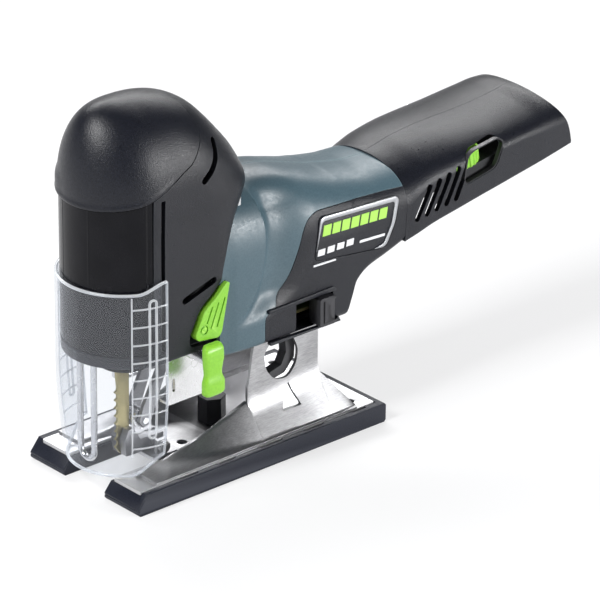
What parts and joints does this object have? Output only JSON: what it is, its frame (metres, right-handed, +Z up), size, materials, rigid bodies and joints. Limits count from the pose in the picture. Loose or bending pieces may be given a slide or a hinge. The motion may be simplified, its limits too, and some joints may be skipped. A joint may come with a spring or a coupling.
{
  "type": "cordless jigsaw",
  "caption": "Cordless barrel-grip jigsaw with a domed head, clear chip guard, U-shaped base with sole, orbit lever and an open hood for a slide-on battery.",
  "frame": {"origin": "middle of the whole tool in plan, on the surface that the running sole stands on", "axes": "+X points to the rear of the handle and -X is the cutting direction, +Z is up along the plunger, -Y is the left side with the speed wheel and the orbit lever"},
  "size_m": [0.288, 0.08, 0.19],
  "materials": {
    "petrol_plastic": "fine satin moulded",
    "grained_plastic": "fine spark-eroded grain",
    "gloss_black": "polished",
    "label_silver": "satin printed frame",
    "green_plastic": "satin",
    "bright_steel": "bright",
    "base_metal": "brushed, with soft wear",
    "gear_steel": "ground and oiled",
    "blade_steel": "straw-coloured",
    "cast_alloy": "die-cast",
    "bronze": "sintered bronze",
    "copper": "enamelled copper",
    "dark_plastic": "moulded",
    "clear_plastic": "clear polycarbonate",
    "board_green": "solder mask"
  },
  "bodies": {
    "housing": {"motor_housing_left": "petrol_plastic", "motor_housing_right": "petrol_plastic", "lower_housing_left": "grained_plastic", "lower_housing_right": "grained_plastic", "label_panel_left": "label_silver", "label_panel_right": "label_silver", "head_shell_left": "grained_plastic", "head_shell_right": "grained_plastic", "head_front_cover": "gloss_black", "head_floor_plate": "grained_plastic", "handle_shell_left": "grained_plastic", "handle_shell_right": "grained_plastic", "hood_hinge_pin": "bright_steel", "gearbox_housing": "cast_alloy", "gear_axle": "bright_steel", "motor_stator": "cast_alloy", "stator_windings": "copper", "motor_end_cap": "dark_plastic", "front_bearing": "bright_steel", "rear_bearing": "bright_steel", "upper_bush": "bronze", "lower_bush": "bronze", "plunger_collar": "gloss_black", "pendulum_bracket": "bright_steel", "fork_pivot_pin": "bright_steel", "base_plate": "base_metal", "running_sole": "dark_plastic", "base_clamp_hook": "dark_plastic", "base_stop_block": "dark_plastic", "finger_guard_wire": "bright_steel", "button_switches": "dark_plastic", "electronics_board": "board_green", "battery_dock": "dark_plastic", "housing_screws": "bright_steel"},
    "plunger_set": {"plunger": "bright_steel", "plunger_yoke": "gear_steel", "blade_clamp": "gear_steel", "saw_blade": "blade_steel"},
    "gear": {"drive_gear": "gear_steel", "gear_bearing": "bright_steel", "crank_pin": "bright_steel", "counterweight": "gear_steel"},
    "rotor": {"motor_rotor": "dark_plastic", "motor_shaft": "bright_steel", "motor_pinion": "gear_steel", "motor_fan": "dark_plastic"},
    "lever": {"orbit_lever": "green_plastic", "orbit_shaft": "bright_steel"},
    "fork": {"roller_fork": "gear_steel", "roller_pin": "bright_steel"},
    "roller": {"guide_roller": "bright_steel"},
    "jaw_left": {"guide_jaw_left": "gear_steel"},
    "jaw_right": {"guide_jaw_right": "gear_steel"},
    "jaw_drive": {"jaw_screw": "bright_steel"},
    "hood": {"release_hood": "grained_plastic"},
    "guard": {"chip_guard": "clear_plastic"},
    "base_slider": {"base_release_slider": "gloss_black"},
    "button_left": {"power_button_left": "green_plastic"},
    "button_right": {"power_button_right": "green_plastic"},
    "wheel": {"speed_wheel": "green_plastic"}
  },
  "joints": [
    {"name": "plunger_stroke", "type": "slide", "parent": "housing", "child": "plunger_set", "axis": [0, 0, -1], "range_m": [0, 0.026]},
    {"name": "gear_spin", "type": "hinge", "parent": "housing", "child": "gear", "pos_m": [-0.07505, 0, 0.1261], "axis": [1, 0, 0], "continuous": true},
    {"name": "motor_spin", "type": "hinge", "parent": "housing", "child": "rotor", "pos_m": [-0.03705, 0, 0.1], "axis": [1, 0, 0], "continuous": true},
    {"name": "orbit_lever_turn", "type": "hinge", "parent": "housing", "child": "lever", "pos_m": [-0.08855, -0.03, 0.062], "axis": [0, -1, 0], "range_deg": [0, 75]},
    {"name": "roller_fork_swing", "type": "hinge", "parent": "housing", "child": "fork", "pos_m": [-0.08705, 0, 0.056], "axis": [0, -1, 0], "range_deg": [0, 4]},
    {"name": "roller_spin", "type": "hinge", "parent": "fork", "child": "roller", "pos_m": [-0.1047, 0, 0.0265], "axis": [0, 1, 0], "continuous": true},
    {"name": "jaw_left_slide", "type": "slide", "parent": "housing", "child": "jaw_left", "axis": [0, -1, 0], "range_m": [0, 0.0012]},
    {"name": "jaw_right_slide", "type": "slide", "parent": "housing", "child": "jaw_right", "axis": [0, 1, 0], "range_m": [0, 0.0012]},
    {"name": "jaw_screw_turn", "type": "hinge", "parent": "housing", "child": "jaw_drive", "pos_m": [-0.09905, 0, 0.0136], "axis": [0, 1, 0], "range_deg": [0, 432.2]},
    {"name": "hood_lift", "type": "hinge", "parent": "housing", "child": "hood", "pos_m": [-0.09205, 0, 0.1805], "axis": [0, 1, 0], "range_deg": [0, 20]},
    {"name": "guard_slide", "type": "slide", "parent": "housing", "child": "guard", "axis": [0, 0, 1], "range_m": [0, 0.02]},
    {"name": "base_release_slide", "type": "slide", "parent": "housing", "child": "base_slider", "axis": [-1, 0, 0], "range_m": [0, 0.012]},
    {"name": "power_button_left_press", "type": "slide", "parent": "housing", "child": "button_left", "axis": [0, 1, 0], "range_m": [0, 0.0022], "stiffness_N_per_m": 900, "springref_m": -0.001},
    {"name": "power_button_right_press", "type": "slide", "parent": "housing", "child": "button_right", "axis": [0, -1, 0], "range_m": [0, 0.0022], "stiffness_N_per_m": 900, "springref_m": -0.001},
    {"name": "speed_wheel_turn", "type": "hinge", "parent": "housing", "child": "wheel", "pos_m": [0.0789, -0.019, 0.11497], "axis": [-0.1495, 0, 0.9888], "range_deg": [0, 270]}
  ],
  "couplings": [
    {"joint": "motor_spin", "follows": "gear_spin", "ratio": -3.8333},
    {"joint": "jaw_right_slide", "follows": "jaw_left_slide", "ratio": 1},
    {"joint": "jaw_screw_turn", "follows": "jaw_left_slide", "rad_per_m": 6283.2}
  ]
}
